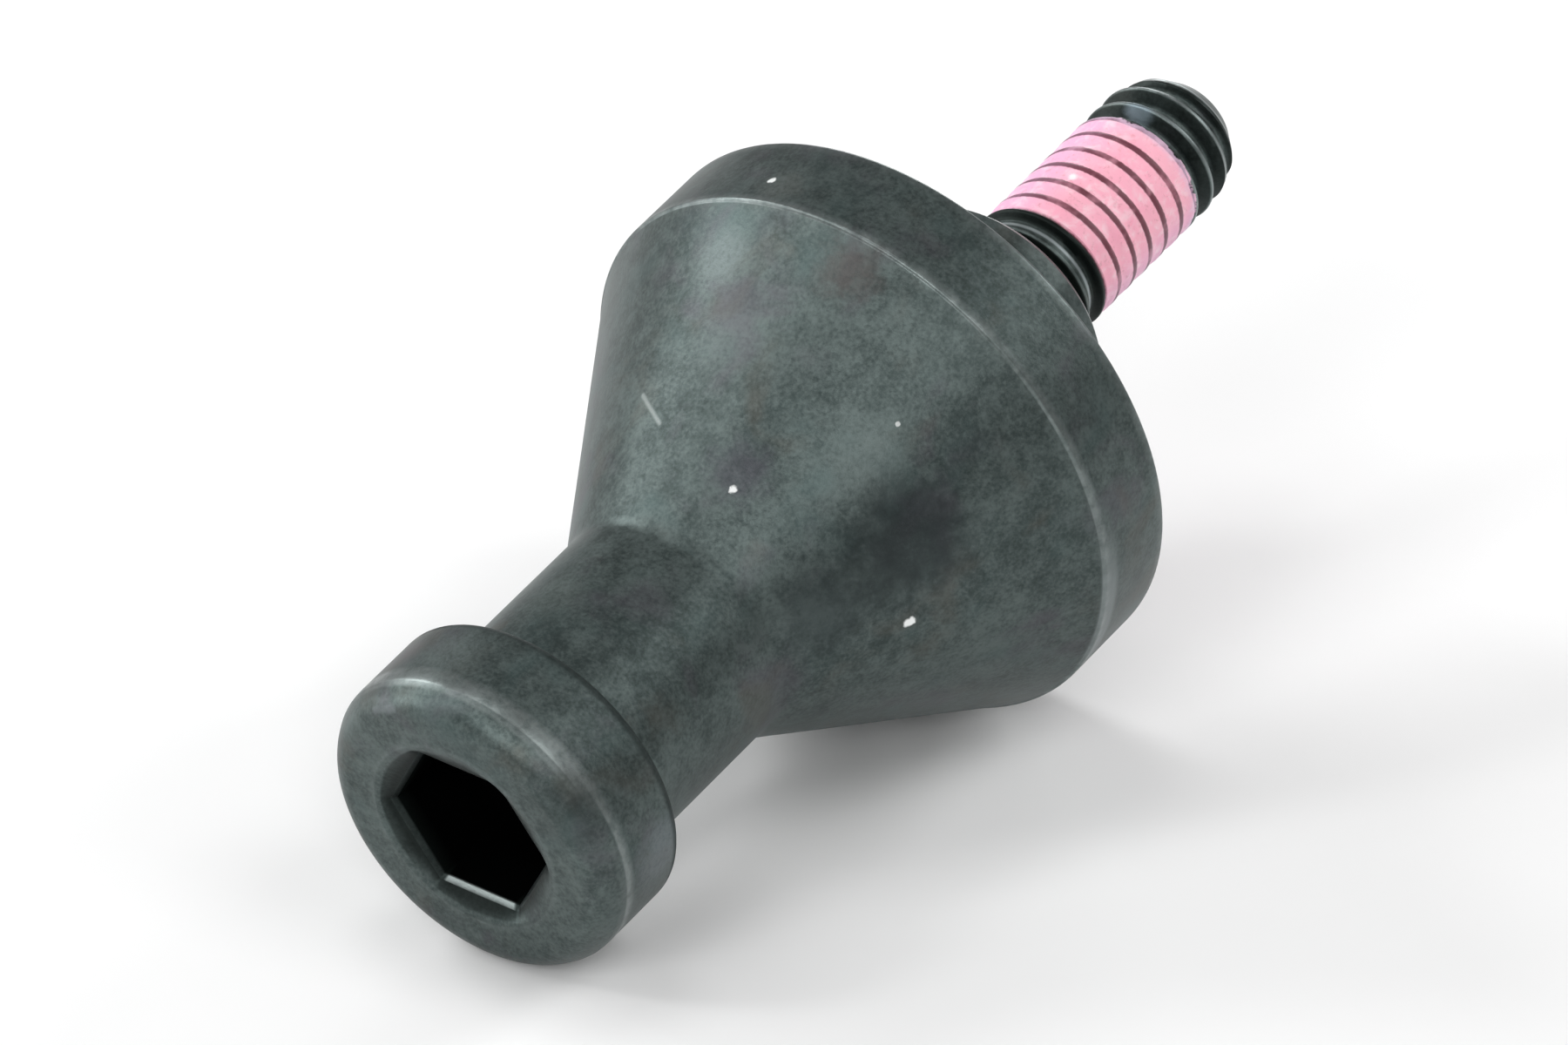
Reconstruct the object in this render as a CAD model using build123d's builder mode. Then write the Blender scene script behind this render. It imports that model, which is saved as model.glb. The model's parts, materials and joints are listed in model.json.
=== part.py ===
from build123d import *
import os
from math import asin, atan2, cos, degrees, hypot, sin

# Fixing pin, made from one piece of steel: a threaded stud, a plain spigot,
# a round flange with a rim band, a straight cone that runs down from the band
# to a slimmer neck, and a round head with a hex socket.
#
# Stations are measured along the pin's own axis, in mm, from the flat seat
# under the flange: positive towards the head, negative towards the stud tip.

# ---- stud side ----
STUD_TIP = -25.3          # end of the threaded stud
STUD_R = 3.9              # major radius of the 5/16 in coarse thread
TIP_R = 2.5               # end face of the stud
LEAD_T, LEAD_R = -24.3, 3.4   # where the steep part of the lead-in meets the slow one
LEAD_START = -22.7        # where the lead-in leaves the full diameter
SPIGOT_END = -7.9         # plain spigot that centres the pin in its plate
SPIGOT_R = 6.75
SPIGOT_EDGE = 0.4

# ---- flange ----
BAND_R = 15.875           # rim band, the largest diameter (1 1/4 in)
BAND_L = 5.25
BAND_EDGE = 0.3           # rounding of the band's back edge
BAND_BREAK = 0.15         # bevel that breaks the corner between band and cone

# ---- cone and neck ----
CONE_START = BAND_L       # the cone runs straight up to the band's bevel
NECK_START = 20.5         # where the cone meets the neck
NECK_R = 6.73
NECK_ROUND = 1.6          # blend at the foot of the cone

# ---- head ----
HEAD_UNDER = 31.6         # underside of the head
HEAD_TOP = 37.9           # face of the head
HEAD_R = 8.73
UNDERCUT_ROUND = 0.6      # blend between neck and head
HEAD_BACK_EDGE = 0.6
HEAD_FRONT_EDGE = 1.45

# ---- hex socket ----
SOCKET_AF = 8.15          # across flats, takes a 5/16 in or 8 mm key
SOCKET_DEPTH = 5.6        # depth of the flats
SOCKET_POINT = 1.3        # conical bottom below the flats
MOUTH_R = 5.35            # countersink at the head's face
MOUTH_DEPTH = 0.6         # depth at which the countersink meets the flats
SOCKET_TURN = -2.1        # turn of the hexagon about the axis, degrees

# ---- how the pin lies ----
# It rests on the front corner of the rim band and the front edge of the head.
# The floor is the line through that corner that touches the head's edge
# rounding, so the tilt of the axis follows from the rounding's centre and radius.
band_t, band_r = BAND_L - BAND_BREAK, BAND_R
head_t, head_r = HEAD_TOP - HEAD_FRONT_EDGE, HEAD_R - HEAD_FRONT_EDGE
span = hypot(head_t - band_t, band_r - head_r)
tilt = atan2(band_r - head_r, head_t - band_t) + asin(-HEAD_FRONT_EDGE / span)

# Height of the seat centre above the floor, and its place along Y that puts
# the middle of the pin's box over the origin.
seat_z = band_t * sin(tilt) + band_r * cos(tilt)
reach_tip = -STUD_TIP * cos(tilt) + TIP_R * sin(tilt)
reach_head = head_t * cos(tilt) + head_r * sin(tilt) + HEAD_FRONT_EDGE
seat_y = (reach_head - reach_tip) / 2

seat = Vector(0, seat_y, seat_z)
to_head = Vector(0, -cos(tilt), -sin(tilt))
pin_axis = Axis(seat, to_head)
# section plane: local x runs along the axis, local y runs out from it
section_plane = Plane(origin=seat, x_dir=to_head, z_dir=(-1, 0, 0))
head_face = Plane(origin=seat + to_head * HEAD_TOP, x_dir=(1, 0, 0), z_dir=to_head)


def corner(sketch, t, r):
    """The corner of a section profile at station t and radius r."""
    return sketch.vertices().sort_by_distance(Vector(t, r, 0))[0]


with BuildPart() as fixing_pin:
    # band, cone, neck and head, turned as one profile
    with BuildSketch(section_plane) as body_profile:
        with BuildLine():
            Polyline(
                (0, 0),
                (0, BAND_R),
                (BAND_L - BAND_BREAK, BAND_R),
                (CONE_START, BAND_R - BAND_BREAK),
                (NECK_START, NECK_R),
                (HEAD_UNDER, NECK_R),
                (HEAD_UNDER, HEAD_R),
                (HEAD_TOP, HEAD_R),
                (HEAD_TOP, 0),
                close=True,
            )
        make_face()
        fillet(corner(body_profile, 0, BAND_R), BAND_EDGE)
        fillet(corner(body_profile, NECK_START, NECK_R), NECK_ROUND)
        fillet(corner(body_profile, HEAD_UNDER, NECK_R), UNDERCUT_ROUND)
        fillet(corner(body_profile, HEAD_UNDER, HEAD_R), HEAD_BACK_EDGE)
        fillet(corner(body_profile, HEAD_TOP, HEAD_R), HEAD_FRONT_EDGE)
    revolve(axis=pin_axis)

    # spigot and stud, with the lead-in at the tip
    with BuildSketch(section_plane) as stud_profile:
        with BuildLine():
            Polyline(
                (0.5, 0),
                (0.5, SPIGOT_R),
                (SPIGOT_END + SPIGOT_EDGE, SPIGOT_R),
                (SPIGOT_END, SPIGOT_R - SPIGOT_EDGE),
                (SPIGOT_END, STUD_R),
                (LEAD_START, STUD_R),
                (LEAD_T, LEAD_R),
                (STUD_TIP, TIP_R),
                (STUD_TIP, 0),
                close=True,
            )
        make_face()
    revolve(axis=pin_axis)

    # hex socket in the head, then its countersink and its conical bottom
    with BuildSketch(head_face):
        RegularPolygon(radius=SOCKET_AF / 2, side_count=6, major_radius=False, rotation=SOCKET_TURN)
    extrude(amount=-SOCKET_DEPTH, mode=Mode.SUBTRACT)

    with BuildSketch(section_plane) as mouth_profile:
        with BuildLine():
            Polyline(
                (HEAD_TOP, 0),
                (HEAD_TOP, MOUTH_R),
                (HEAD_TOP - MOUTH_DEPTH, SOCKET_AF / 2),
                (HEAD_TOP - MOUTH_DEPTH, 0),
                close=True,
            )
        make_face()
    revolve(axis=pin_axis, mode=Mode.SUBTRACT)

    floor_t = HEAD_TOP - SOCKET_DEPTH
    with BuildSketch(section_plane) as point_profile:
        with BuildLine():
            Polyline(
                (floor_t + 0.2, 0),
                (floor_t + 0.2, SOCKET_AF / 2 - 0.2),
                (floor_t, SOCKET_AF / 2 - 0.2),
                (floor_t - SOCKET_POINT, 0),
                close=True,
            )
        make_face()
    revolve(axis=pin_axis, mode=Mode.SUBTRACT)

fixing_pin.part.label = "fixing_pin"
os.makedirs("parts", exist_ok=True)
export_step(fixing_pin.part, "parts/fixing_pin.step")

box = fixing_pin.part.bounding_box()
print("tilt", round(degrees(tilt), 3), "deg  seat y", round(seat_y, 3), " z", round(seat_z, 3))
print("box", box.min, box.max)
print("volume", round(fixing_pin.part.volume, 1), "mm3  mass", round(fixing_pin.part.volume * 7.85e-3, 1), "g")
print("centre of mass", fixing_pin.part.center(CenterOf.MASS))
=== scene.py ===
import json
import math

import bpy
import numpy as np
from mathutils import Matrix, Quaternion, Vector


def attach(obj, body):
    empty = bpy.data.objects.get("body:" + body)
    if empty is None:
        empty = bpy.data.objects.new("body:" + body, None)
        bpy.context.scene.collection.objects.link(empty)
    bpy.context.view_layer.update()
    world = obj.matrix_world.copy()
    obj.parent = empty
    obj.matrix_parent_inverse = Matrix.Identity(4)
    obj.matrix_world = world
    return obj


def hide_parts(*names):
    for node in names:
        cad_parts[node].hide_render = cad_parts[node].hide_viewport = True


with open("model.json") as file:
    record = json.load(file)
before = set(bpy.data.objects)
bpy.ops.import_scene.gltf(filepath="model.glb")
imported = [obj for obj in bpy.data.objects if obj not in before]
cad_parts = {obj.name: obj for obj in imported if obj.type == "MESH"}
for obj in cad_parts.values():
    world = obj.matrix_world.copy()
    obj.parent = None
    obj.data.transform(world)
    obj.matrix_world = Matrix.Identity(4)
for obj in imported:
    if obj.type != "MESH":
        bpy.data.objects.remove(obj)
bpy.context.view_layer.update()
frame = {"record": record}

# The pin's own frame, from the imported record: the spigot's and the stud's
# axis, and the seat plane that the pin's stations are measured from.
# Stations t are in mm along the axis from the seat, positive to the head.
mounts = {m["name"]: m for m in frame["record"]["mounts"]}
D = -Vector(mounts["seat"]["axis"]).normalized()
X = Vector((1.0, 0.0, 0.0))
U = D.cross(X).normalized()
spigot_at = Vector(mounts["spigot"]["pos_m"])
seat_at = Vector(mounts["seat"]["pos_m"])
SEAT = spigot_at + D * (seat_at - spigot_at).dot(D)
MM = 0.001

# ---- dimensions, the same as the CAD's, in mm ----
STUD_TIP, STUD_R, TIP_R = -25.3, 3.9, 2.5
LEAD_T, LEAD_R, LEAD_START = -24.3, 3.4, -22.7
SPIGOT_END, SPIGOT_R, SPIGOT_EDGE = -7.9, 6.75, 0.4
BAND_R, BAND_L, BAND_EDGE, BAND_BREAK = 15.875, 5.25, 0.3, 0.15
SHOULDER_R, CONE_START = 15.725, 5.25
LIP_ROUND = 0.2            # the worn corner between band and cone
NECK_START, NECK_R, NECK_ROUND = 20.5, 6.73, 1.6
HEAD_UNDER, HEAD_TOP, HEAD_R = 31.6, 37.9, 8.73
UNDERCUT_ROUND, HEAD_BACK_EDGE, HEAD_FRONT_EDGE = 0.6, 0.6, 1.45
SOCKET_AF, SOCKET_DEPTH, SOCKET_POINT = 8.15, 5.6, 1.3
MOUTH_R, SOCKET_TURN = 5.35, -2.1
ENTRY_DEPTH, BEVEL_TOP, BEVEL_OUT = 0.74, 0.50, 0.175   # the bevel above the flats: where it starts and ends

# thread, 5/16-18, right hand
PITCH = 25.4 / 18
CREST_R, ROOT_R, CREST_HALF = 3.88, 3.08, 0.10
CREST_AT = -11.72          # station of a crest at CREST_TURN degrees
CREST_TURN = 40.7
# thread-lock patch: it fills the thread's grooves almost flush
PATCH_HEAD, PATCH_TIP, PATCH_FILL = -11.97, -20.22, 3.845

NS = 192                   # samples round the axis; every 32nd falls on a corner of the hexagon


# ======================================================================
# mesh
# ======================================================================
def arc(ct, cr, radius, a0, a1, n):
    """Points (t, r) on an arc about (ct, cr), angles in degrees from the t axis."""
    return [
        (ct + radius * math.cos(math.radians(a)), cr + radius * math.sin(math.radians(a)))
        for a in np.linspace(a0, a1, n)
    ]


def fillet(p0, corner, p1, radius, n):
    """Points of the rounding of a corner between the lines to p0 and to p1."""
    a, c, b = (np.array(v, float) for v in (p0, corner, p1))
    u, v = (a - c) / np.linalg.norm(a - c), (b - c) / np.linalg.norm(b - c)
    half = math.acos(float(np.clip(u @ v, -1, 1))) / 2
    reach = radius / math.tan(half)
    centre = c + (u + v) / np.linalg.norm(u + v) * radius / math.sin(half)
    s, e = c + u * reach - centre, c + v * reach - centre
    a0, a1 = math.atan2(s[1], s[0]), math.atan2(e[1], e[0])
    turn = (a1 - a0 + math.pi) % (2 * math.pi) - math.pi
    return [
        (centre[0] + radius * math.cos(a0 + turn * k), centre[1] + radius * math.sin(a0 + turn * k))
        for k in np.linspace(0, 1, n)
    ]


def straight(p, q, step):
    """Points between p and q, neither end included."""
    n = max(1, int(round(math.dist(p, q) / step)))
    return [
        (p[0] + (q[0] - p[0]) * k / n, p[1] + (q[1] - p[1]) * k / n) for k in range(1, n)
    ]


def crown_points(p, q, off_p, off_q, n):
    """A curve from p on the face to q on the side. It leaves the face at off_p and meets the side at off_q, in radians."""
    p, q = np.array(p, float), np.array(q, float)
    reach = np.linalg.norm(q - p) * 0.39
    a = p + reach * np.array((-math.sin(off_p), math.cos(off_p)))
    b = q + reach * np.array((math.cos(off_q), -math.sin(off_q)))
    return [
        tuple((1 - k) ** 3 * p + 3 * k * (1 - k) ** 2 * a + 3 * k * k * (1 - k) * b + k**3 * q)
        for k in np.linspace(0, 1, n)
    ]


def smooth(x):
    x = np.clip(x, 0.0, 1.0)
    return x * x * (3 - 2 * x)


# outside profile, from the socket's mouth over the head to the stud
face_in, face_out = (HEAD_TOP, MOUTH_R + 0.22), (HEAD_TOP, HEAD_R - HEAD_FRONT_EDGE)
sections = []          # (points, wear and painted highlight, painted cavity shade) in order
sections.append(([face_in], 0.3, 0))
sections.append((straight(face_in, face_out, 0.28), 0.0, 0))
# front of the head: a flattened rounding that meets the side at a low ridge
ridge = (HEAD_TOP - HEAD_FRONT_EDGE, HEAD_R)
crown = crown_points(face_out, ridge, math.radians(8), math.radians(22), 14)
ridge_out = (ridge[0] - 0.50, HEAD_R)
ridge_round = [
    ((1 - k) ** 2 * crown[-2][0] + 2 * k * (1 - k) * ridge[0] + k * k * ridge_out[0],
     (1 - k) ** 2 * crown[-2][1] + 2 * k * (1 - k) * ridge[1] + k * k * ridge_out[1])
    for k in (0.2, 0.4, 0.6, 0.8, 1.0)
]
head_side_end = (HEAD_UNDER + HEAD_BACK_EDGE, HEAD_R)
sections.append((crown[:-3], 0.0, 0))
# the crown's end and the ridge are painted bright: partly wear, partly painted highlight
sections.append((crown[-3:-1], 0.7, 0))
sections.append((ridge_round, 1.5, 0))
sections.append((straight(ridge_out, head_side_end, 0.5), 0.0, 0))
sections.append((arc(HEAD_UNDER + HEAD_BACK_EDGE, HEAD_R - HEAD_BACK_EDGE, HEAD_BACK_EDGE, 90, 180, 8), 0.0, 0))
undercut = fillet((HEAD_UNDER, HEAD_R), (HEAD_UNDER, NECK_R), (NECK_START, NECK_R), UNDERCUT_ROUND, 8)
sections.append((straight((HEAD_UNDER, HEAD_R - HEAD_BACK_EDGE), undercut[0], 0.3), 0.0, 0.3))
sections.append((undercut, 0.0, 0.6))
foot = fillet((HEAD_UNDER, NECK_R), (NECK_START, NECK_R), (CONE_START, SHOULDER_R), NECK_ROUND, 8)
sections.append((straight(undercut[-1], foot[0], 0.55), 0.0, 0))
sections.append((foot, 0.0, 0.15))
sections.append((straight(foot[-1], (CONE_START, SHOULDER_R), 0.55), 0.0, 0))
sections.append(([(CONE_START + 0.05, SHOULDER_R - 0.03)], 0.15, 0.1))
# the corner between cone and band is a small rounding, painted bright: partly wear, partly painted highlight
lip_t, lip_r = BAND_L - LIP_ROUND, BAND_R - LIP_ROUND
lip = math.degrees(math.asin((SHOULDER_R + 0.01 - lip_r) / LIP_ROUND))
sections.append((arc(lip_t, lip_r, LIP_ROUND, lip, 90, 7), 1.0, 0))
sections.append((straight((lip_t, BAND_R), (BAND_EDGE, BAND_R), 0.45), 0.0, 0))
band_corner = BAND_R - BAND_EDGE
sections.append((arc(BAND_EDGE, band_corner, BAND_EDGE, 90, 180, 7), 0.6, 0))
seat_in = fillet((0, BAND_R), (0, SPIGOT_R), (SPIGOT_END, SPIGOT_R), 0.25, 5)
sections.append((straight((0, band_corner), seat_in[0], 1.1), 0.0, 0))
sections.append((seat_in, 0.0, 0.6))
spigot_corner = (SPIGOT_END + SPIGOT_EDGE, SPIGOT_R)
sections.append((straight(seat_in[-1], spigot_corner, 0.9), 0.0, 0))
sections.append(([spigot_corner, (SPIGOT_END + SPIGOT_EDGE / 2, SPIGOT_R - SPIGOT_EDGE / 2), (SPIGOT_END, SPIGOT_R - SPIGOT_EDGE)], 0.6, 0))
SHANK_R = 3.5
neck_in = fillet((SPIGOT_END, SPIGOT_R), (SPIGOT_END, SHANK_R), (STUD_TIP, SHANK_R), 0.3, 5)
sections.append((straight((SPIGOT_END, SPIGOT_R - SPIGOT_EDGE), neck_in[0], 0.7), 0.0, 0.2))
sections.append((neck_in, 0.0, 0.7))

theta = math.radians(SOCKET_TURN) + 2 * math.pi * np.arange(NS) / NS
cos_t, sin_t = np.cos(theta), np.sin(theta)
rng = np.random.default_rng(20)

# slow unevenness of the turned and tumbled surface, always inwards
waves = [
    (rng.uniform(0.12, 0.75), int(rng.integers(-7, 8)), rng.uniform(0, 2 * math.pi), rng.uniform(0.5, 1.0))
    for _ in range(14)
]


def uneven(t, th):
    total = sum(a * np.sin(w * t + m * th + ph) for w, m, ph, a in waves)
    return total / sum(a for _, _, _, a in waves)


rings = []             # (t array, r array, wear and painted highlight, painted cavity shade) for each ring round the axis
# socket, from its bottom up to the mouth
phi = (theta - math.radians(SOCKET_TURN)) % (math.pi / 3) - math.pi / 6
hex_r = SOCKET_AF / 2 / np.cos(phi)
floor_t = HEAD_TOP - SOCKET_DEPTH
one = np.ones(NS)
for share in (0.25, 0.5, 0.75):
    rings.append(((floor_t - SOCKET_POINT * (1 - share)) * one, 3.8 * share * one, 0, 0.6))
rings.append((floor_t * one, 3.8 * one, 0, 0.8))
rings.append((floor_t * one, 0.5 * (3.8 + hex_r), 0, 0.9))
rings.append(((floor_t + 0.02) * one, hex_r - 0.03, 0, 1.0))
# walls, then the bevel of the entry, worn and painted bright on its bottom side, then the facets up to the mouth
entry_t, bevel_t = HEAD_TOP - ENTRY_DEPTH, HEAD_TOP - BEVEL_TOP
for share in (0.02, 0.2, 0.4, 0.6, 0.8):
    rings.append(((floor_t + (entry_t - floor_t) * share) * one, hex_r, 0, 0.5))
half_af = SOCKET_AF / 2
lit_and_rubbed = (np.abs((np.degrees(theta) - (SOCKET_TURN - 90) + 180) % 360 - 180) < 26.5).astype(float)   # the bottom side, where the bevel is painted bright, partly key wear and partly painted highlight; painted shade on the other sides
bevel = fillet((floor_t, half_af), (entry_t, half_af), (bevel_t, half_af + BEVEL_OUT), 0.16, 5)
bevel += straight(bevel[-1], (bevel_t, half_af + BEVEL_OUT), 0.12)
bevel += [(bevel_t - 0.02, half_af + BEVEL_OUT - 0.0138), (bevel_t + 0.012, half_af + BEVEL_OUT + 0.018)]
for top_t, apothem in bevel:
    top_r = apothem / np.cos(phi)
    rings.append((top_t * one, top_r, 2.2 * lit_and_rubbed, 0.0, 0.85 * (1 - lit_and_rubbed)))
# painted shade on the facets: darkest at the bevel and fading towards the mouth, even beside the bottom side, and
# darker at the mouth on the left
near_lit_side = smooth((32 - np.abs((np.degrees(theta) - (SOCKET_TURN - 90) + 180) % 360 - 180)) / 4)
left_side = smooth((np.cos(theta - math.radians(165)) - 0.3) / 0.4)
edge_r = MOUTH_R - 0.22 * (MOUTH_R - top_r) / 0.8
edge_t = HEAD_TOP - (HEAD_TOP - top_t) * (MOUTH_R - edge_r) / (MOUTH_R - top_r)
for share in (0.06, 0.35, 0.65, 1.0):
    rings.append((top_t + (edge_t - top_t) * share, top_r + (edge_r - top_r) * share, 0.0, 0.2, np.clip(1.35 * ((1 - share) * (0.75 * (1 - near_lit_side) + 0.1) + near_lit_side * (0.6 if share < 1 else 0.45) + 0.5 * left_side * share), 0, 1)))
for k in (0.25, 0.5, 0.75):
    t_ = (1 - k) ** 2 * edge_t + (2 * k * (1 - k) + k * k) * HEAD_TOP
    r_ = (1 - k) ** 2 * edge_r + 2 * k * (1 - k) * MOUTH_R + k * k * face_in[1]
    rings.append((t_, r_, 0.05, 0.15))
socket_rings = len(rings)
for points, wear_and_highlight, cavity_shade in sections:
    for k, (t, r) in enumerate(points):
        rings.append((t * one, r * one, wear_and_highlight, cavity_shade))

rings = [r if len(r) == 5 else r + (0.0,) for r in rings]
ring_t = np.array([r[0] for r in rings])
ring_r = np.array([r[1] for r in rings])
ring_wear_and_highlight = np.array([np.full(NS, r[2]) if np.isscalar(r[2]) else r[2] for r in rings])
ring_cav = np.array([np.full(NS, r[3]) if np.isscalar(r[3]) else r[3] for r in rings])
ring_dark = np.array([np.full(NS, r[4]) if np.isscalar(r[4]) else r[4] for r in rings])

soft = np.zeros_like(ring_r)
soft[socket_rings:] = 0.012 * (1 - uneven(ring_t[socket_rings:], theta[None, :])) / 2
soft[ring_t < 0.02] = 0
soft *= smooth((ring_t - 5.7) / 2.0)               # the band stays true
soft *= 1 - smooth((ring_t - HEAD_TOP + 1.6) / 0.3)
ring_r = ring_r - soft
ring_r[socket_rings:] -= 0.003 * smooth((ring_r[socket_rings:] - 7.0) / 1.0)   # the skin lies just inside the CAD's

# stud: the rows of the mesh run along the thread's helix
half = [0.0, 0.06, 0.10, 0.15, 0.24, 0.34, 0.44, 0.53, 0.61]
row_off = half + [PITCH / 2] + [PITCH - h for h in reversed(half[1:])]
ROWS = len(row_off)
crest0 = CREST_AT + PITCH * (math.degrees(theta[0]) - CREST_TURN) / 360
while crest0 < SPIGOT_END:
    crest0 += PITCH
start_t = neck_in[-1][0]
turns = int(math.ceil((crest0 + PITCH - STUD_TIP) / PITCH)) + 1
stud_row = np.arange(turns * ROWS)
offs = np.array([PITCH * (i // ROWS) + row_off[i % ROWS] for i in stud_row])
x_row = np.array([min(row_off[i % ROWS], PITCH - row_off[i % ROWS]) for i in stud_row])
stud_t = crest0 - offs[:, None] + PITCH * (np.arange(NS) / NS)[None, :]
is_start, is_end = stud_t > start_t - 0.012, stud_t < STUD_TIP + 0.012


def soft_max(a, b, k):
    h = np.clip(0.5 + 0.5 * (a - b) / k, 0, 1)
    return b + (a - b) * h + k * h * (1 - h)


def soft_min(a, b, k):
    return -soft_max(-a, -b, k)


def to_reference(t, th):
    """Station of the same point of the thread where it passes CREST_TURN."""
    return t - PITCH * (((np.degrees(th) - CREST_TURN + 180) % 360) - 180) / 360


def stud_radius(t, x, th):
    r = CREST_R - math.sqrt(3) * (x - CREST_HALF)
    r = soft_min(r, CREST_R, 0.05)
    # the thread runs out shallow towards the flange
    root_r = SHANK_R - 0.05 + (ROOT_R - SHANK_R + 0.05) * smooth((-11.2 - t) / 1.2)
    bare = soft_max(r, root_r, 0.10)
    ragged = 0.10 * np.sin(3 * th + 1.3) + 0.07 * np.sin(7 * th + 0.4)
    cover = smooth((PATCH_HEAD - to_reference(t, th)) / 0.10 + 0.5) * smooth((t - PATCH_TIP - ragged) / 0.14 + 0.5)
    lumps = 0.5 + 0.5 * np.sin(5.1 * th + 2.3 * t) * np.sin(2.9 * t - 3 * th + 1.0)
    # the coating stands proudest a little headward of each crest
    off = (CREST_AT - to_reference(t, th)) % PITCH
    fill = PATCH_FILL + 0.030 * np.cos(2 * math.pi * (off + 0.27) / PITCH) + 0.03 * (lumps - 0.5)
    coated = soft_max(bare, fill, 0.03)
    r = bare * (1 - cover) + coated * cover
    run_out = smooth((-9.35 - t) / 0.9)
    r = SHANK_R * (1 - run_out) + r * run_out
    lead_in = np.interp(t, (STUD_TIP, LEAD_T, LEAD_START), (TIP_R, LEAD_R, STUD_R)) - 0.003
    return np.minimum(np.minimum(r, lead_in), STUD_R), cover


def stud_tones(t, off, th, cover):
    """How dark and how bright the thread is painted, in painted shade and painted highlights: off is the way from a
    crest towards the tip, up to one pitch.
    """
    away = np.minimum(off, PITCH - off)
    # the coating is painted dark along the crests
    coated = 1 - smooth((away - 0.13) / 0.16)
    # bare thread: painted shade, black, on the flank that faces the flange, and painted highlights along crests and
    # roots
    near_flange = smooth((to_reference(t, th) - PATCH_HEAD + 0.3) / 0.1)
    black = smooth((off - 0.84 - 0.18 * near_flange) / 0.12) * (1 - smooth((off - PITCH + 0.11) / 0.07))
    black = np.maximum(black, 0.30 * smooth((off - 0.10) / 0.08) * (1 - smooth((off - 0.50) / 0.08)))
    root = smooth((off - 0.56) / 0.07) * (1 - smooth((off - 0.78) / 0.07))
    bright = np.maximum(1 - away / 0.17, root * (0.45 + 0.75 * near_flange))
    # painted shade: the last bare flank before the coating is black all over
    last = smooth((-11.22 - to_reference(t, th)) / 0.12) * near_flange
    bright = np.clip(bright, 0, 1.2) * (1 - 0.75 * near_flange) * (1 - last)
    black = black * (0.80 + 0.20 * near_flange)
    # below nought is pale, a painted highlight: the shallow root by the flange, and the crests at the tip
    pale = near_flange * (1 - last) * smooth((off - 0.66) / 0.05) * (1 - smooth((off - 0.80) / 0.05))
    pale = np.maximum(pale, 0.4 * (1 - near_flange) * np.clip(1 - away / 0.15, 0, 1))
    black = np.where(pale > 0.05, -pale, np.maximum(black, last))
    return black * (1 - cover) + coated * cover, bright * (1 - cover)


off_row = np.array([row_off[i % ROWS] for i in stud_row])
stud_r, stud_cover = stud_radius(stud_t, x_row[:, None] * np.ones((1, NS)), theta[None, :])

# vertices: bottom centre, all rings, the stud's free vertices, tip rings, tip centre
n_ring = len(rings)
t_list = [np.array([floor_t - SOCKET_POINT])]
r_list = [np.array([0.0])]
th_list = [np.array([0.0])]
wear_and_highlight_list, cav_list = [np.array([0.0])], [np.array([0.8])]
t_list.append(ring_t.ravel()); r_list.append(ring_r.ravel()); th_list.append(np.tile(theta, n_ring))
wear_and_highlight_list.append(ring_wear_and_highlight.ravel()); cav_list.append(ring_cav.ravel())
first_stud = 1 + n_ring * NS
free = ~(is_start | is_end)
index = np.full(stud_t.shape, -1, int)
index[free] = first_stud + np.arange(free.sum())
start_ring = 1 + (n_ring - 1) * NS
tip_ring = first_stud + int(free.sum())
cols = np.tile(np.arange(NS), (stud_t.shape[0], 1))
index[is_start] = start_ring + cols[is_start]
index[is_end] = tip_ring + cols[is_end]
t_list.append(stud_t[free]); r_list.append(stud_r[free])
th_list.append(np.tile(theta, (stud_t.shape[0], 1))[free])
x_all = np.tile(x_row[:, None], (1, NS))
stud_dark, stud_highlight = stud_tones(stud_t, np.tile(off_row[:, None], (1, NS)), theta[None, :], stud_cover)
wear_and_highlight_list.append(stud_highlight[free])
# painted shade in the thread's grooves
cav_list.append(0.3 * smooth((x_all - 0.34) / 0.30)[free])
dark_list = [np.zeros(1), ring_dark.ravel(), stud_dark[free]]
tip_r = TIP_R
TIP_T = STUD_TIP + 0.004   # just inside the CAD's end face
tip_rings = [(TIP_T, tip_r), (TIP_T, tip_r - 0.12), (TIP_T, 1.4), (TIP_T + 0.12, 0.6)]
for t, r in tip_rings:
    t_list.append(t * one); r_list.append(r * one); th_list.append(theta)
    wear_and_highlight_list.append(0.3 * one); cav_list.append(0 * one)
t_list.append(np.array([STUD_TIP + 0.2])); r_list.append(np.array([0.0])); th_list.append(np.array([0.0]))
wear_and_highlight_list.append(np.array([0.0])); cav_list.append(np.array([0.3]))
dark_list.append(np.zeros(len(tip_rings) * NS + 1))

vt, vr, vth = np.concatenate(t_list), np.concatenate(r_list), np.concatenate(th_list)
last_vertex = len(vt) - 1
axes = np.array([X[:], U[:], D[:]])
local = np.stack([vr * np.cos(vth), vr * np.sin(vth), vt], 1)
co = local @ axes * MM + np.array(SEAT)

faces = []
for j in range(NS):                                  # bottom of the socket
    faces.append((0, 1 + j, 1 + (j + 1) % NS))
for i in range(n_ring - 1):
    a, b = 1 + i * NS, 1 + (i + 1) * NS
    for j in range(NS):
        k = (j + 1) % NS
        faces.append((a + j, b + j, b + k, a + k))


def stud_vertex(i, j):
    if j == NS:
        i, j = i - ROWS, 0
    if i < 0:
        return start_ring + j
    return int(index[i, j])


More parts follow.
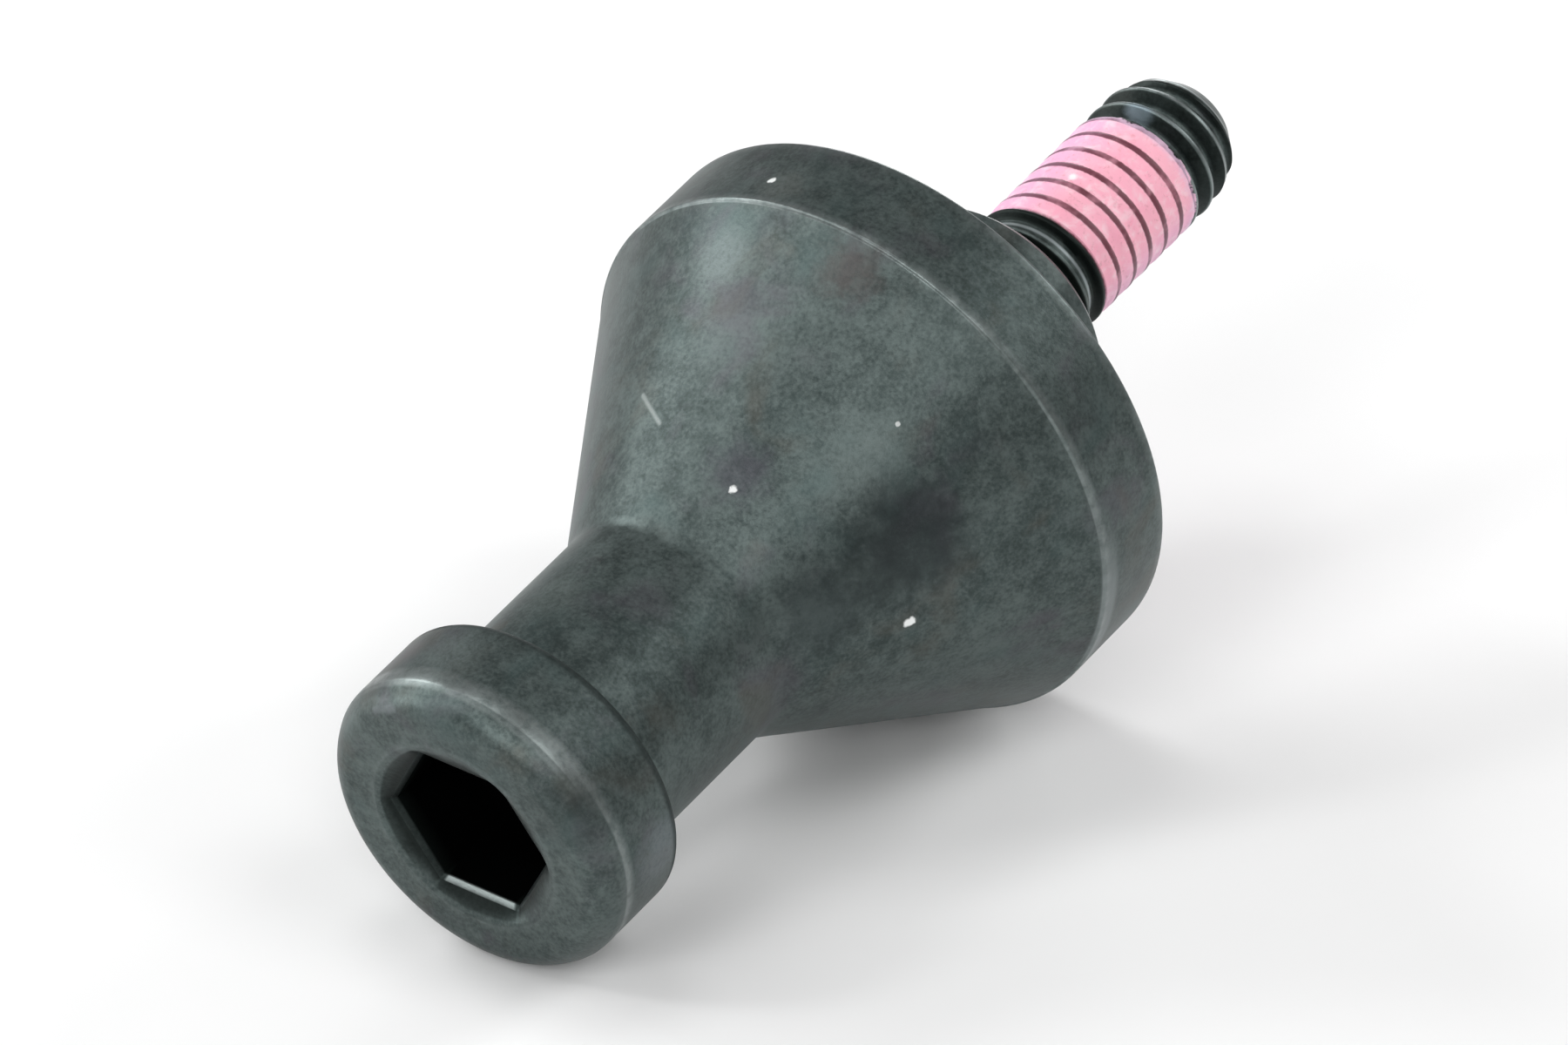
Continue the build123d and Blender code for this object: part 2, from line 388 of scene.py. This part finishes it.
for i in range(-1, stud_t.shape[0] - 1):
    for j in range(NS):
        quad = [stud_vertex(i, j), stud_vertex(i + 1, j), stud_vertex(i + 1, j + 1), stud_vertex(i, j + 1)]
        kept = [v for n, v in enumerate(quad) if v != quad[n - 1]]
        if len(set(kept)) == len(kept) and len(kept) >= 3:
            faces.append(tuple(kept))
for i in range(len(tip_rings) - 1):
    a, b = tip_ring + i * NS, tip_ring + (i + 1) * NS
    for j in range(NS):
        k = (j + 1) % NS
        faces.append((a + j, b + j, b + k, a + k))
a = tip_ring + (len(tip_rings) - 1) * NS
for j in range(NS):
    faces.append((a + j, last_vertex, a + (j + 1) % NS))

mesh = bpy.data.meshes.new("fixing_pin_surface")
mesh.from_pydata(co.tolist(), [], faces)
mesh.validate()
for name, values in (("wear_and_highlight", np.concatenate(wear_and_highlight_list)), ("cavity_shade", np.concatenate(cav_list)), ("dark", np.concatenate(dark_list))):
    attribute = mesh.attributes.new(name, "FLOAT", "POINT")
    attribute.data.foreach_set("value", values.astype(np.float32))
mesh.polygons.foreach_set("use_smooth", [True] * len(mesh.polygons))
mesh.set_sharp_from_angle(angle=math.radians(42))
mesh.update()
pin = bpy.data.objects.new("fixing_pin_surface", mesh)
bpy.context.scene.collection.objects.link(pin)


# ======================================================================
# materials
# ======================================================================
class Nodes:
    """Short calls for building a node tree."""

    def __init__(self, name):
        self.material = bpy.data.materials.new(name)
        self.material.use_nodes = True
        self.tree = self.material.node_tree
        self.tree.nodes.clear()

    def add(self, kind, **settings):
        node = self.tree.nodes.new(kind)
        for key, value in settings.items():
            setattr(node, key, value)
        return node

    def put(self, socket, value):
        if isinstance(value, bpy.types.NodeSocket):
            self.tree.links.new(value, socket)
        else:
            socket.default_value = value

    def math(self, operation, a, b=None, c=None, clamp=False):
        node = self.add("ShaderNodeMath", operation=operation, use_clamp=clamp)
        for n, value in enumerate((a, b, c)):
            if value is not None:
                self.put(node.inputs[n], value)
        return node.outputs[0]

    def ramp(self, value, low, high, to_low=0.0, to_high=1.0, smooth_step=True):
        node = self.add("ShaderNodeMapRange")
        node.interpolation_type = "SMOOTHSTEP" if smooth_step else "LINEAR"
        self.put(node.inputs["Value"], value)
        self.put(node.inputs["From Min"], low)
        self.put(node.inputs["From Max"], high)
        self.put(node.inputs["To Min"], to_low)
        self.put(node.inputs["To Max"], to_high)
        return node.outputs["Result"]

    def mix(self, factor, a, b, blend="MIX"):
        node = self.add("ShaderNodeMix", data_type="RGBA", blend_type=blend)
        node.clamp_factor = True
        self.put(node.inputs["Factor"], factor)
        self.put(node.inputs["A"] if not isinstance(a, tuple) else node.inputs[6], a)
        self.put(node.inputs[7], b)
        return node.outputs[2]

    def noise(self, vector, scale, detail=2.0, roughness=0.5, distortion=0.0, seed=0.0):
        node = self.add("ShaderNodeTexNoise", noise_dimensions="4D")
        self.put(node.inputs["Vector"], vector)
        self.put(node.inputs["W"], seed)
        self.put(node.inputs["Scale"], scale)
        self.put(node.inputs["Detail"], detail)
        self.put(node.inputs["Roughness"], roughness)
        self.put(node.inputs["Distortion"], distortion)
        return node.outputs["Fac"]

    def distance(self, vector, point):
        node = self.add("ShaderNodeVectorMath", operation="DISTANCE")
        self.put(node.inputs[0], vector)
        node.inputs[1].default_value = point
        return node.outputs["Value"]

    def radius(self, x, y):
        return self.math("SQRT", self.math("ADD", self.math("MULTIPLY", x, x), self.math("MULTIPLY", y, y)))

    def segment(self, vector, a, b):
        """Distance from the segment between the points a and b."""
        a, b = Vector(a), Vector(b)
        run = b - a
        off = self.add("ShaderNodeVectorMath", operation="SUBTRACT")
        self.put(off.inputs[0], vector)
        off.inputs[1].default_value = a
        along = self.add("ShaderNodeVectorMath", operation="DOT_PRODUCT")
        self.put(along.inputs[0], off.outputs["Vector"])
        along.inputs[1].default_value = run / run.dot(run)
        share = self.math("ADD", along.outputs["Value"], 0.0, clamp=True)
        nearest = self.add("ShaderNodeVectorMath", operation="SCALE")
        nearest.inputs[0].default_value = run
        self.put(nearest.inputs["Scale"], share)
        away = self.add("ShaderNodeVectorMath", operation="DISTANCE")
        self.put(away.inputs[0], off.outputs["Vector"])
        self.put(away.inputs[1], nearest.outputs["Vector"])
        return away.outputs["Value"]

    def attribute(self, name):
        node = self.add("ShaderNodeAttribute", attribute_type="GEOMETRY", attribute_name=name)
        return node.outputs["Fac"]


def at(t, turn, r):
    """A point in the pin's own coordinates, mm, from station, turn in degrees and radius."""
    a = math.radians(turn)
    return (r * math.cos(a), r * math.sin(a), t)


n = Nodes("black_oxide_steel")
coords = n.add("ShaderNodeTexCoord")
rows = Matrix((X, U, D))
place = n.add("ShaderNodeMapping", vector_type="POINT")
place.inputs["Scale"].default_value = (1 / MM,) * 3
place.inputs["Rotation"].default_value = rows.to_euler("XYZ")
place.inputs["Location"].default_value = -(rows @ SEAT) / MM
n.put(place.inputs["Vector"], coords.outputs["Object"])
P = place.outputs["Vector"]                          # mm, z along the axis from the seat
split = n.add("ShaderNodeSeparateXYZ")
n.put(split.inputs[0], P)
px, py, pt = split.outputs

cloud = n.noise(P, 0.22, 3, 0.55, 0.4, 1.7)
mottle = n.noise(P, 0.95, 4, 0.62, 0.2, 4.1)
grain = n.noise(P, 4.6, 3, 0.65, 0.0, 9.3)
fine = n.noise(P, 13.0, 2, 0.6, 0.0, 31.0)
tint = n.noise(P, 0.20, 3, 0.55, 0.6, 22.0)
wear_and_highlight = n.attribute("wear_and_highlight")
cavity_shade = n.attribute("cavity_shade")
dark = n.attribute("dark")

shade = n.math("ADD", n.math("MULTIPLY", cloud, 0.24), n.math("MULTIPLY", mottle, 0.36))
shade = n.math("ADD", shade, n.math("MULTIPLY", grain, 0.40))
shade = n.ramp(shade, 0.35, 0.65)
steel = n.mix(shade, (0.042, 0.056, 0.054, 1), (0.114, 0.142, 0.137, 1))
teal = n.ramp(n.noise(P, 0.26, 2, 0.5, 0.4, 57.0), 0.50, 0.75, 0.0, 0.40)
steel = n.mix(teal, steel, (0.070, 0.108, 0.106, 1))
purple = n.ramp(tint, 0.52, 0.72, 0.0, 0.45)
steel = n.mix(purple, steel, (0.092, 0.080, 0.098, 1))
brown = n.ramp(n.noise(P, 0.24, 3, 0.5, 0.5, 41.0), 0.56, 0.74, 0.0, 0.35)
steel = n.mix(brown, steel, (0.092, 0.082, 0.068, 1))
# painted highlights and painted shade: pale places where the cone, neck, head and band catch the light, dark ones on
# the shaded side of the cone and neck and on the face, and a heat-tinted brownish one and a purple one
for where, reach, strength, shade_of in (
    ((7.9, 106, 14.2), 2.4, 0.55, (0.155, 0.185, 0.185, 1)),
    ((11.5, 96, 12.0), 2.6, 0.30, (0.140, 0.165, 0.165, 1)),
    ((6.6, 77, 15.0), 2.3, 0.55, (0.086, 0.068, 0.066, 1)),
    ((12.5, 45, 11.4), 2.6, 0.35, (0.140, 0.170, 0.165, 1)),
    ((37.9, 30, 7.70), 2.8, 0.30, (0.040, 0.050, 0.050, 1)),
    ((34.2, 102, 8.73), 2.4, 0.40, (0.160, 0.190, 0.185, 1)),
    ((26.5, 103, 6.73), 2.6, 0.35, (0.140, 0.170, 0.160, 1)),
    ((3.6, 100, 15.80), 1.8, 0.45, (0.170, 0.190, 0.180, 1)),
    ((16.6, 72, 9.0), 2.3, 0.45, (0.080, 0.072, 0.092, 1)),
    ((13.0, 23, 11.15), 4.4, 0.78, (0.026, 0.032, 0.034, 1)),
    ((17.8, 18, 8.35), 3.6, 0.50, (0.032, 0.040, 0.042, 1)),
    ((15.2, 20, 9.83), 3.4, 0.40, (0.034, 0.042, 0.042, 1)),
    ((33.2, -7, 8.73), 2.6, 0.55, (0.200, 0.225, 0.240, 1)),
):
    away = n.math("ADD", n.distance(P, at(*where)), n.math("MULTIPLY", n.math("SUBTRACT", mottle, 0.5), 3.0))
    patch = n.math("MULTIPLY", n.ramp(away, reach * 0.25, reach, strength, 0.0), n.ramp(grain, 0.25, 0.6, 0.55, 1.0))
    steel = n.mix(patch, steel, shade_of)
# painted highlight: a pale strip on the band by its edge, on one side
pale_turn = n.math("ARCTAN2", py, px)
pale = n.math("MULTIPLY", n.ramp(n.math("ABSOLUTE", n.math("SUBTRACT", pale_turn, math.radians(-18))), 0.10, 0.42, 1.0, 0.0),
              n.math("MULTIPLY", n.ramp(pt, 3.9, 4.5), n.ramp(pt, BAND_L - 0.05, BAND_L + 0.15, 1.0, 0.0)))
steel = n.mix(n.math("MULTIPLY", pale, 0.85), steel, (0.19, 0.22, 0.22, 1))
# painted highlight: the ridge keeps its bright edge only on its lit side, round turn 85
head_turn = n.math("ABSOLUTE", n.math("SUBTRACT", pale_turn, math.radians(85)))
on_ridge = n.math("MULTIPLY", n.ramp(pt, 36.0, 36.2), n.ramp(n.radius(px, py), 6.0, 6.2))
ridge_side = n.ramp(head_turn, 0.72, 1.08, 0.0, 0.90)
wear_and_highlight = n.math("MULTIPLY", wear_and_highlight, n.math("SUBTRACT", 1.0, n.math("MULTIPLY", on_ridge, ridge_side)))
worn_and_lit = n.math("MULTIPLY", wear_and_highlight, n.ramp(n.noise(P, 1.6, 3, 0.55, 0, 13.0), 0.25, 0.75, 0.25, 1.0), clamp=True)
# worn edges and painted highlights on the ridge, the socket's bottom bevel and the thread's crests and roots turn pale
steel = n.mix(n.math("MULTIPLY", worn_and_lit, 0.50), steel, (0.30, 0.335, 0.33, 1))
# painted shade: darker in recesses, the thread's grooves and the socket
steel = n.mix(n.math("MULTIPLY", cavity_shade, 0.45), steel, (0.026, 0.032, 0.032, 1))
# painted shade: the socket below its entry is nearly black, rough and not metallic
socket_shade = n.math("MULTIPLY",
                n.ramp(pt, HEAD_TOP - ENTRY_DEPTH - 0.10, HEAD_TOP - ENTRY_DEPTH + 0.04, 1.0, 0.0),
                n.math("MULTIPLY", n.ramp(pt, HEAD_UNDER - 2.5, HEAD_UNDER - 2.4), n.ramp(n.radius(px, py), 5.0, 5.2, 1.0, 0.0)))
steel = n.mix(socket_shade, steel, (0.0012, 0.0014, 0.0014, 1))
# painted shade: near black where dark is above nought, on the socket's bevel and facets and on the bare thread's
# flanks
steel = n.mix(n.math("MULTIPLY", dark, 0.92, clamp=True), steel, (0.007, 0.010, 0.009, 1))
# painted highlight: pale where dark is below nought, at the bare thread's roots and crests
steel = n.mix(n.math("MULTIPLY", dark, -0.85, clamp=True), steel, (0.40, 0.45, 0.46, 1))
# the head's back edge is darker and rougher
back_edge = n.math("MULTIPLY", n.ramp(n.radius(px, py), 8.0, 8.3),
                   n.math("MULTIPLY", n.ramp(pt, HEAD_UNDER - 0.1, HEAD_UNDER), n.ramp(pt, HEAD_UNDER + 0.45, HEAD_UNDER + 0.8, 1.0, 0.0)))
steel = n.mix(n.math("MULTIPLY", back_edge, 0.6), steel, (0.020, 0.026, 0.025, 1))
# a fine scratch and a few specks of pale dust
scratch = n.segment(P, at(14.43, 117.5, 10.31), at(15.78, 106.5, 9.52))
scratch = n.math("ADD", scratch, n.math("MULTIPLY", n.math("SUBTRACT", grain, 0.5), 0.16))
scratch = n.ramp(scratch, 0.02, 0.20, 0.32, 0.0)
steel = n.mix(scratch, steel, (0.42, 0.46, 0.45, 1))
# a pale streak on the head's front rounding
crown_streak = n.math("ADD", n.segment(P, at(37.63, 124.5, 7.77), at(37.70, 114, 7.72)), n.math("MULTIPLY", n.math("SUBTRACT", mottle, 0.5), 0.5))
crown_streak = n.ramp(crown_streak, 0.02, 0.32, 0.30, 0.0)
steel = n.mix(crown_streak, steel, (0.26, 0.29, 0.30, 1))
dust = None
for first, last, reach, strength in (
    ((3.43, 103.6, 15.875), (3.39, 103.4, 15.875), 0.27, 0.85),
    ((17.34, 70.5, 8.60), (17.30, 70.4, 8.62), 0.24, 0.85),
    ((14.42, 0.1, 10.32), (14.22, 0.4, 10.43), 0.29, 1.0),
    ((10.57, 48.25, 12.59), (10.55, 48.2, 12.60), 0.15, 0.5),
):
    away = n.math("ADD", n.segment(P, at(*first), at(*last)), n.math("MULTIPLY", n.math("SUBTRACT", grain, 0.5), 0.34))
    one_speck = n.ramp(away, reach * 0.45, reach, strength, 0.0)
    dust = one_speck if dust is None else n.math("MAXIMUM", dust, one_speck)
steel = n.mix(dust, steel, (0.86, 0.88, 0.87, 1))

# thread-lock patch, by station along the helix
turn = n.math("ARCTAN2", py, px)
turned = n.math("SUBTRACT", turn, math.radians(CREST_TURN))
turned = n.math("WRAP", turned, math.pi, -math.pi)
helix = n.math("MULTIPLY", turned, PITCH / (2 * math.pi))
wobble = n.math("MULTIPLY", n.math("SUBTRACT", n.noise(P, 0.9, 3, 0.6, 0, 5.0), 0.5), 0.20)
from_start = n.math("SUBTRACT", n.math("ADD", PATCH_HEAD, helix), n.math("ADD", pt, wobble))
ragged = n.math("MULTIPLY", n.math("SUBTRACT", n.noise(P, 1.1, 4, 0.7, 0, 8.0), 0.5), 1.3)
from_end = n.math("SUBTRACT", n.math("ADD", pt, ragged), PATCH_TIP)
coat = n.math("MULTIPLY", n.ramp(from_start, -0.06, 0.06), n.ramp(from_end, -0.08, 0.08))
groove = n.math("ADD", dark, n.math("MULTIPLY", n.math("SUBTRACT", grain, 0.5), 0.9), clamp=True)
pink = n.mix(n.noise(P, 0.8, 4, 0.6, 0.2, 3.0), (1.0, 0.37, 0.52, 1), (0.93, 0.50, 0.58, 1))
side = n.math("ABSOLUTE", n.math("SUBTRACT", turned, 0.05))
pink = n.mix(n.ramp(side, 0.55, 1.35, 0.0, 0.70), pink, (0.80, 0.42, 0.66, 1))
dirt = n.ramp(n.noise(P, 3.2, 4, 0.7, 0.3, 17.0), 0.53, 0.70, 0.0, 0.45)
pink = n.mix(dirt, pink, (0.55, 0.20, 0.24, 1))
# the dark stripes along the coated crests are stronger in some places than others
stripe_noise = n.ramp(n.noise(P, 0.55, 3, 0.6, 0, 71.0), 0.34, 0.52, 0.62, 1.0)
crest_tint = n.mix(n.ramp(side, 0.5, 1.4), (0.105, 0.011, 0.026, 1), (0.16, 0.055, 0.095, 1))
pink = n.mix(n.math("MULTIPLY", n.ramp(groove, 0.10, 0.85, 0.0, 0.96), stripe_noise), pink, crest_tint)
pale_streak = n.ramp(n.noise(P, 1.3, 4, 0.62, 0.5, 90.0), 0.46, 0.72, 0.0, 0.50)
pink = n.mix(n.math("MULTIPLY", pale_streak, n.math("SUBTRACT", 1.0, groove)), pink, (1.0, 0.80, 0.84, 1))
pink = n.mix(n.ramp(from_end, 0.0, 0.7, 0.6, 0.0), pink, (0.74, 0.56, 0.74, 1))
glint = n.ramp(n.math("ADD", n.distance(P, at(-15.0, 86, 3.86)), n.math("MULTIPLY", n.math("SUBTRACT", fine, 0.5), 0.2)), 0.10, 0.34, 0.75, 0.0)
pink = n.mix(glint, pink, (1.0, 0.93, 0.95, 1))
# painted highlight: a blue-grey spot on the bare thread by the tip
tip_highlight = n.math("ADD", n.distance(P, at(-21.30, 88, 3.7)), n.math("MULTIPLY", n.math("SUBTRACT", mottle, 0.5), 0.8))
steel = n.mix(n.ramp(tip_highlight, 0.35, 1.15, 0.75, 0.0), steel, (0.26, 0.33, 0.37, 1))
colour = n.mix(coat, steel, pink)

not_metal = n.math("MAXIMUM", coat, n.math("MAXIMUM", dust, n.math("MULTIPLY", socket_shade, 0.6)))
metallic = n.math("SUBTRACT", 0.92, n.math("MULTIPLY", not_metal, 0.92), clamp=True)
rough = n.math("ADD", 0.35, n.math("MULTIPLY", mottle, 0.10))
rough = n.math("ADD", rough, n.math("MULTIPLY", grain, 0.10))
rough = n.math("SUBTRACT", rough, n.math("MULTIPLY", worn_and_lit, 0.08))
rough = n.math("ADD", n.math("MULTIPLY", rough, n.math("SUBTRACT", 1.0, coat)), n.math("MULTIPLY", coat, 0.48))
rough = n.math("ADD", rough, n.math("MULTIPLY", socket_shade, 0.25))
rough = n.math("ADD", rough, n.math("MULTIPLY", back_edge, 0.25))

height = n.math("ADD", n.math("MULTIPLY", grain, 0.8), n.math("MULTIPLY", mottle, 0.8))
height = n.math("ADD", height, n.math("MULTIPLY", fine, 0.30))
bump = n.add("ShaderNodeBump")
bump.inputs["Strength"].default_value = 0.5
bump.inputs["Distance"].default_value = 0.00003
n.put(bump.inputs["Height"], height)

shader = n.add("ShaderNodeBsdfPrincipled")
n.put(shader.inputs["Base Color"], colour)
n.put(shader.inputs["Metallic"], metallic)
n.put(shader.inputs["Roughness"], rough)
n.put(shader.inputs["Normal"], bump.outputs["Normal"])
n.put(shader.inputs["Specular IOR Level"], n.math("SUBTRACT", 0.5, n.math("MULTIPLY", socket_shade, 0.5), clamp=True))
out = n.add("ShaderNodeOutputMaterial")
n.put(out.inputs["Surface"], shader.outputs["BSDF"])
mesh.materials.append(n.material)

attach(pin, "root")
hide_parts("fixing_pin")

# ======================================================================
# floor, light, camera
# ======================================================================
floor_mesh = bpy.data.meshes.new("floor")
size = 4.0
floor_mesh.from_pydata([(-size, -size, 0), (size, -size, 0), (size, size, 0), (-size, size, 0)], [], [(0, 1, 2, 3)])
floor_obj = bpy.data.objects.new("floor", floor_mesh)
bpy.context.scene.collection.objects.link(floor_obj)
f = Nodes("pale_floor")
f_coords = f.add("ShaderNodeTexCoord")
f_noise = f.noise(f_coords.outputs["Object"], 60.0, 3, 0.5)
f_shader = f.add("ShaderNodeBsdfPrincipled")
f.put(f_shader.inputs["Base Color"], f.mix(f_noise, (0.86, 0.86, 0.86, 1), (0.90, 0.90, 0.90, 1)))
f_shader.inputs["Roughness"].default_value = 0.8
f_shader.inputs["Specular IOR Level"].default_value = 0.2
f_out = f.add("ShaderNodeOutputMaterial")
f.put(f_out.inputs["Surface"], f_shader.outputs["BSDF"])
floor_mesh.materials.append(f.material)

world = bpy.data.worlds.new("studio")
world.use_nodes = True
world.node_tree.nodes["Background"].inputs["Color"].default_value = (1.0, 1.0, 1.0, 1)
world.node_tree.nodes["Background"].inputs["Strength"].default_value = 0.2
bpy.context.scene.world = world

AIM = Vector((0.0, -0.004, 0.014))


def softbox(name, azimuth, elevation, distance, width, power, colour=(1, 1, 1)):
    """A round area light that faces the object, seen from it at that azimuth and elevation."""
    a, e = math.radians(azimuth), math.radians(elevation)
    back = Vector((math.sin(a) * math.cos(e), -math.cos(a) * math.cos(e), math.sin(e)))
    data = bpy.data.lights.new(name, "AREA")
    data.shape = "DISK"
    data.size = width
    data.energy = power
    data.color = colour
    light = bpy.data.objects.new(name, data)
    light.location = AIM + back * distance
    light.rotation_mode = "QUATERNION"
    light.rotation_quaternion = (-back).to_track_quat("-Z", "Y")
    bpy.context.scene.collection.objects.link(light)
    return light


for name, azimuth, elevation, width, power in (
    ("key", -40, 41, 0.20, 1.6),
    ("fill_high", -45, 56, 0.5, 1.2),
    ("left", -90, 32, 0.5, 5.3),
    ("left_low", -60, 10, 0.5, 4.2),
    ("front", 8, 32, 0.5, 4.3),
    ("right", 90, 56, 0.5, 2.35),
    ("top", -90, 80, 0.5, 1.85),
    ("back_right", 150, 32, 0.5, 3.9),
    ("back_left", -150, 10, 0.5, 3.5),
    ("ridge", 42, 32, 0.32, 2.0),
):
    softbox(name, azimuth, elevation, 1.2, width, power)

camera_data = bpy.data.cameras.new("camera")
camera_data.sensor_fit = "HORIZONTAL"
camera_data.sensor_width = 36.0
camera_data.lens = 270.868
camera_data.clip_start, camera_data.clip_end = 0.05, 20.0
camera = bpy.data.objects.new("camera", camera_data)
azimuth, elevation, roll = math.radians(36.962895), math.radians(29.668346), math.radians(-0.02112)
back = Vector((
    math.sin(azimuth) * math.cos(elevation),
    -math.cos(azimuth) * math.cos(elevation),
    math.sin(elevation),
))
camera.location = (0.3119302, -0.4184580, 0.3096606)
camera.rotation_mode = "QUATERNION"
camera.rotation_quaternion = (-back).to_track_quat("-Z", "Y") @ Quaternion((0.0, 0.0, 1.0), roll)
bpy.context.scene.collection.objects.link(camera)
bpy.context.scene.camera = camera

view = bpy.context.scene.view_settings
view.view_transform = "Standard"
view.look = "None"
view.exposure = 0.0
view.gamma = 1.0
